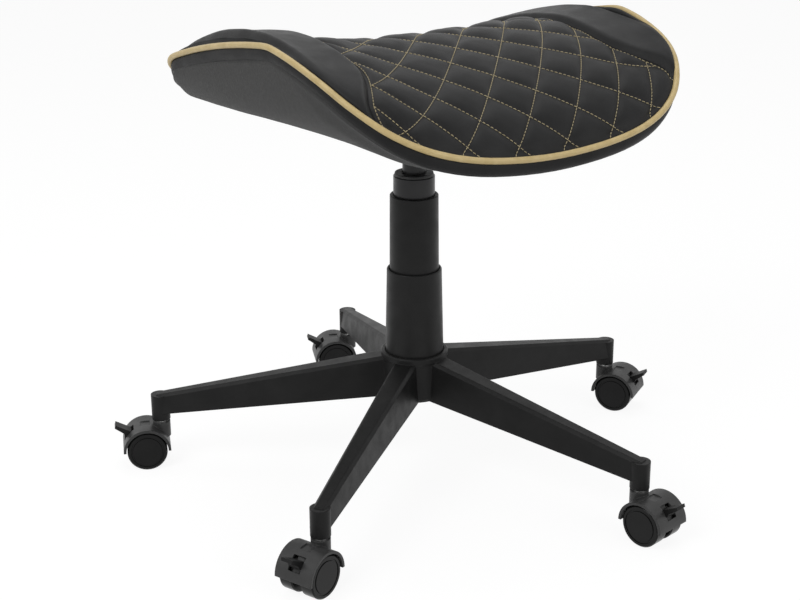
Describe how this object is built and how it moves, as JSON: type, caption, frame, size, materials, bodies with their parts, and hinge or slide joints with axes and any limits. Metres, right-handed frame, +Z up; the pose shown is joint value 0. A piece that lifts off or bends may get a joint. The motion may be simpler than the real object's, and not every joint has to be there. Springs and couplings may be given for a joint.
{
  "type": "gaming stool",
  "caption": "Height-adjustable saddle stool with a quilted, winged seat on a gas lift, a star base and hooded braked casters.",
  "frame": {"origin": "on the floor under the column axis", "axes": "+Z up along the column, +X towards the seat's right wing, -Y towards the seat's low front edge"},
  "size_m": [0.6879, 0.7099, 0.5712],
  "materials": {
    "nylon_black": "satin",
    "cover_black": "satin",
    "steel_black": "satin",
    "steel_bright": "polished",
    "steel_plain": "satin",
    "bush_plastic": "matte",
    "wheel_gloss": "gloss",
    "leather_black": "semi-gloss grain",
    "piping_gold": "semi-gloss",
    "plywood": "raw",
    "underside_grey": "woven"
  },
  "bodies": {
    "base": {"base_star": "nylon_black", "lift_tube": "steel_black", "lift_bush": "bush_plastic", "cover_lower": "cover_black"},
    "rod": {"lift_rod": "steel_bright", "thrust_bearing": "steel_plain", "lift_clip": "steel_plain"},
    "seat": {"lift_cylinder": "steel_black", "seat_plate": "steel_black", "seat_bolts": "steel_plain", "lever_pin": "steel_plain", "seat_quilt": "leather_black", "wing_left": "leather_black", "wing_right": "leather_black", "seat_piping": "piping_gold", "seat_band": "leather_black", "seat_board": "plywood", "seat_underside": "underside_grey"},
    "valve": {"valve_button": "bush_plastic"},
    "lever": {"height_lever": "steel_black", "lever_grip": "cover_black"},
    "cover": {"cover_upper": "cover_black"},
    "caster_a": {"caster_hood_a": "nylon_black", "caster_stem_a": "steel_bright", "caster_pins_a": "steel_plain"},
    "wheel_left_a": {"wheel_left_a": "wheel_gloss"},
    "wheel_right_a": {"wheel_right_a": "wheel_gloss"},
    "brake_a": {"brake_lever_a": "nylon_black"},
    "caster_b": {"caster_hood_b": "nylon_black", "caster_stem_b": "steel_bright", "caster_pins_b": "steel_plain"},
    "wheel_left_b": {"wheel_left_b": "wheel_gloss"},
    "wheel_right_b": {"wheel_right_b": "wheel_gloss"},
    "brake_b": {"brake_lever_b": "nylon_black"},
    "caster_c": {"caster_hood_c": "nylon_black", "caster_stem_c": "steel_bright", "caster_pins_c": "steel_plain"},
    "wheel_left_c": {"wheel_left_c": "wheel_gloss"},
    "wheel_right_c": {"wheel_right_c": "wheel_gloss"},
    "brake_c": {"brake_lever_c": "nylon_black"},
    "caster_d": {"caster_hood_d": "nylon_black", "caster_stem_d": "steel_bright", "caster_pins_d": "steel_plain"},
    "wheel_left_d": {"wheel_left_d": "wheel_gloss"},
    "wheel_right_d": {"wheel_right_d": "wheel_gloss"},
    "brake_d": {"brake_lever_d": "nylon_black"},
    "caster_e": {"caster_hood_e": "nylon_black", "caster_stem_e": "steel_bright", "caster_pins_e": "steel_plain"},
    "wheel_left_e": {"wheel_left_e": "wheel_gloss"},
    "wheel_right_e": {"wheel_right_e": "wheel_gloss"},
    "brake_e": {"brake_lever_e": "nylon_black"}
  },
  "joints": [
    {"name": "seat_swivel", "type": "hinge", "parent": "base", "child": "rod", "pos_m": [0, 0, 0.1], "axis": [0, 0, 1], "continuous": true},
    {"name": "seat_lift", "type": "slide", "parent": "rod", "child": "seat", "axis": [0, 0, 1], "range_m": [0, 0.12]},
    {"name": "height_lever", "type": "hinge", "parent": "seat", "child": "lever", "pos_m": [0.048, 0, 0.4395], "axis": [0, -1, 0], "range_deg": [0, 4], "stiffness_Nm_per_rad": 2},
    {"name": "valve_button", "type": "slide", "parent": "seat", "child": "valve", "axis": [0, 0, 1], "range_m": [-0.004, 0]},
    {"name": "cover_lift", "type": "slide", "parent": "base", "child": "cover", "axis": [0, 0, 1], "range_m": [0, 0.04]},
    {"name": "caster_swivel_a", "type": "hinge", "parent": "base", "child": "caster_a", "pos_m": [-0.26435, 0.18033, 0.06], "axis": [0, 0, 1], "continuous": true},
    {"name": "roll_left_a", "type": "hinge", "parent": "caster_a", "child": "wheel_left_a", "pos_m": [-0.28279, 0.18808, 0.025], "axis": [-0.3875, -0.9219, 0], "continuous": true},
    {"name": "roll_right_a", "type": "hinge", "parent": "caster_a", "child": "wheel_right_a", "pos_m": [-0.28279, 0.18808, 0.025], "axis": [-0.3875, -0.9219, 0], "continuous": true},
    {"name": "brake_a", "type": "hinge", "parent": "caster_a", "child": "brake_a", "pos_m": [-0.30187, 0.1961, 0.0437], "axis": [-0.3875, -0.9219, 0], "range_deg": [0, 10]},
    {"name": "caster_swivel_b", "type": "hinge", "parent": "base", "child": "caster_b", "pos_m": [-0.25319, -0.19569, 0.06], "axis": [0, 0, 1], "continuous": true},
    {"name": "roll_left_b", "type": "hinge", "parent": "caster_b", "child": "wheel_left_b", "pos_m": [-0.27184, -0.20292, 0.025], "axis": [0.3616, -0.9323, 0], "continuous": true},
    {"name": "roll_right_b", "type": "hinge", "parent": "caster_b", "child": "wheel_right_b", "pos_m": [-0.27184, -0.20292, 0.025], "axis": [0.3616, -0.9323, 0], "continuous": true},
    {"name": "brake_b", "type": "hinge", "parent": "caster_b", "child": "brake_b", "pos_m": [-0.29114, -0.21041, 0.0437], "axis": [0.3616, -0.9323, 0], "range_deg": [0, 10]},
    {"name": "caster_swivel_c", "type": "hinge", "parent": "base", "child": "caster_c", "pos_m": [0.10787, -0.30127, 0.06], "axis": [0, 0, 1], "continuous": true},
    {"name": "roll_left_c", "type": "hinge", "parent": "caster_c", "child": "wheel_left_c", "pos_m": [0.11175, -0.32089, 0.025], "axis": [0.981, 0.1942, 0], "continuous": true},
    {"name": "roll_right_c", "type": "hinge", "parent": "caster_c", "child": "wheel_right_c", "pos_m": [0.11175, -0.32089, 0.025], "axis": [0.981, 0.1942, 0], "continuous": true},
    {"name": "brake_c", "type": "hinge", "parent": "caster_c", "child": "brake_c", "pos_m": [0.11578, -0.3412, 0.0437], "axis": [0.981, 0.1942, 0], "range_deg": [0, 10]},
    {"name": "caster_swivel_d", "type": "hinge", "parent": "base", "child": "caster_d", "pos_m": [0.31986, 0.00949, 0.06], "axis": [0, 0, 1], "continuous": true},
    {"name": "roll_left_d", "type": "hinge", "parent": "caster_d", "child": "wheel_left_d", "pos_m": [0.33022, -0.00761, 0.025], "axis": [0.8554, 0.518, 0], "continuous": true},
    {"name": "roll_right_d", "type": "hinge", "parent": "caster_d", "child": "wheel_right_d", "pos_m": [0.33022, -0.00761, 0.025], "axis": [0.8554, 0.518, 0], "continuous": true},
    {"name": "brake_d", "type": "hinge", "parent": "caster_d", "child": "brake_d", "pos_m": [0.34094, -0.02532, 0.0437], "axis": [0.8554, 0.518, 0], "range_deg": [0, 10]},
    {"name": "caster_swivel_e", "type": "hinge", "parent": "base", "child": "caster_e", "pos_m": [0.08981, 0.30714, 0.06], "axis": [0, 0, 1], "continuous": true},
    {"name": "roll_left_e", "type": "hinge", "parent": "caster_e", "child": "wheel_left_e", "pos_m": [0.07151, 0.31521, 0.025], "axis": [-0.4035, -0.915, 0], "continuous": true},
    {"name": "roll_right_e", "type": "hinge", "parent": "caster_e", "child": "wheel_right_e", "pos_m": [0.07151, 0.31521, 0.025], "axis": [-0.4035, -0.915, 0], "continuous": true},
    {"name": "brake_e", "type": "hinge", "parent": "caster_e", "child": "brake_e", "pos_m": [0.05257, 0.32356, 0.0437], "axis": [-0.4035, -0.915, 0], "range_deg": [0, 10]}
  ],
  "couplings": [
    {"joint": "valve_button", "follows": "height_lever", "m_per_rad": -0.05}
  ]
}
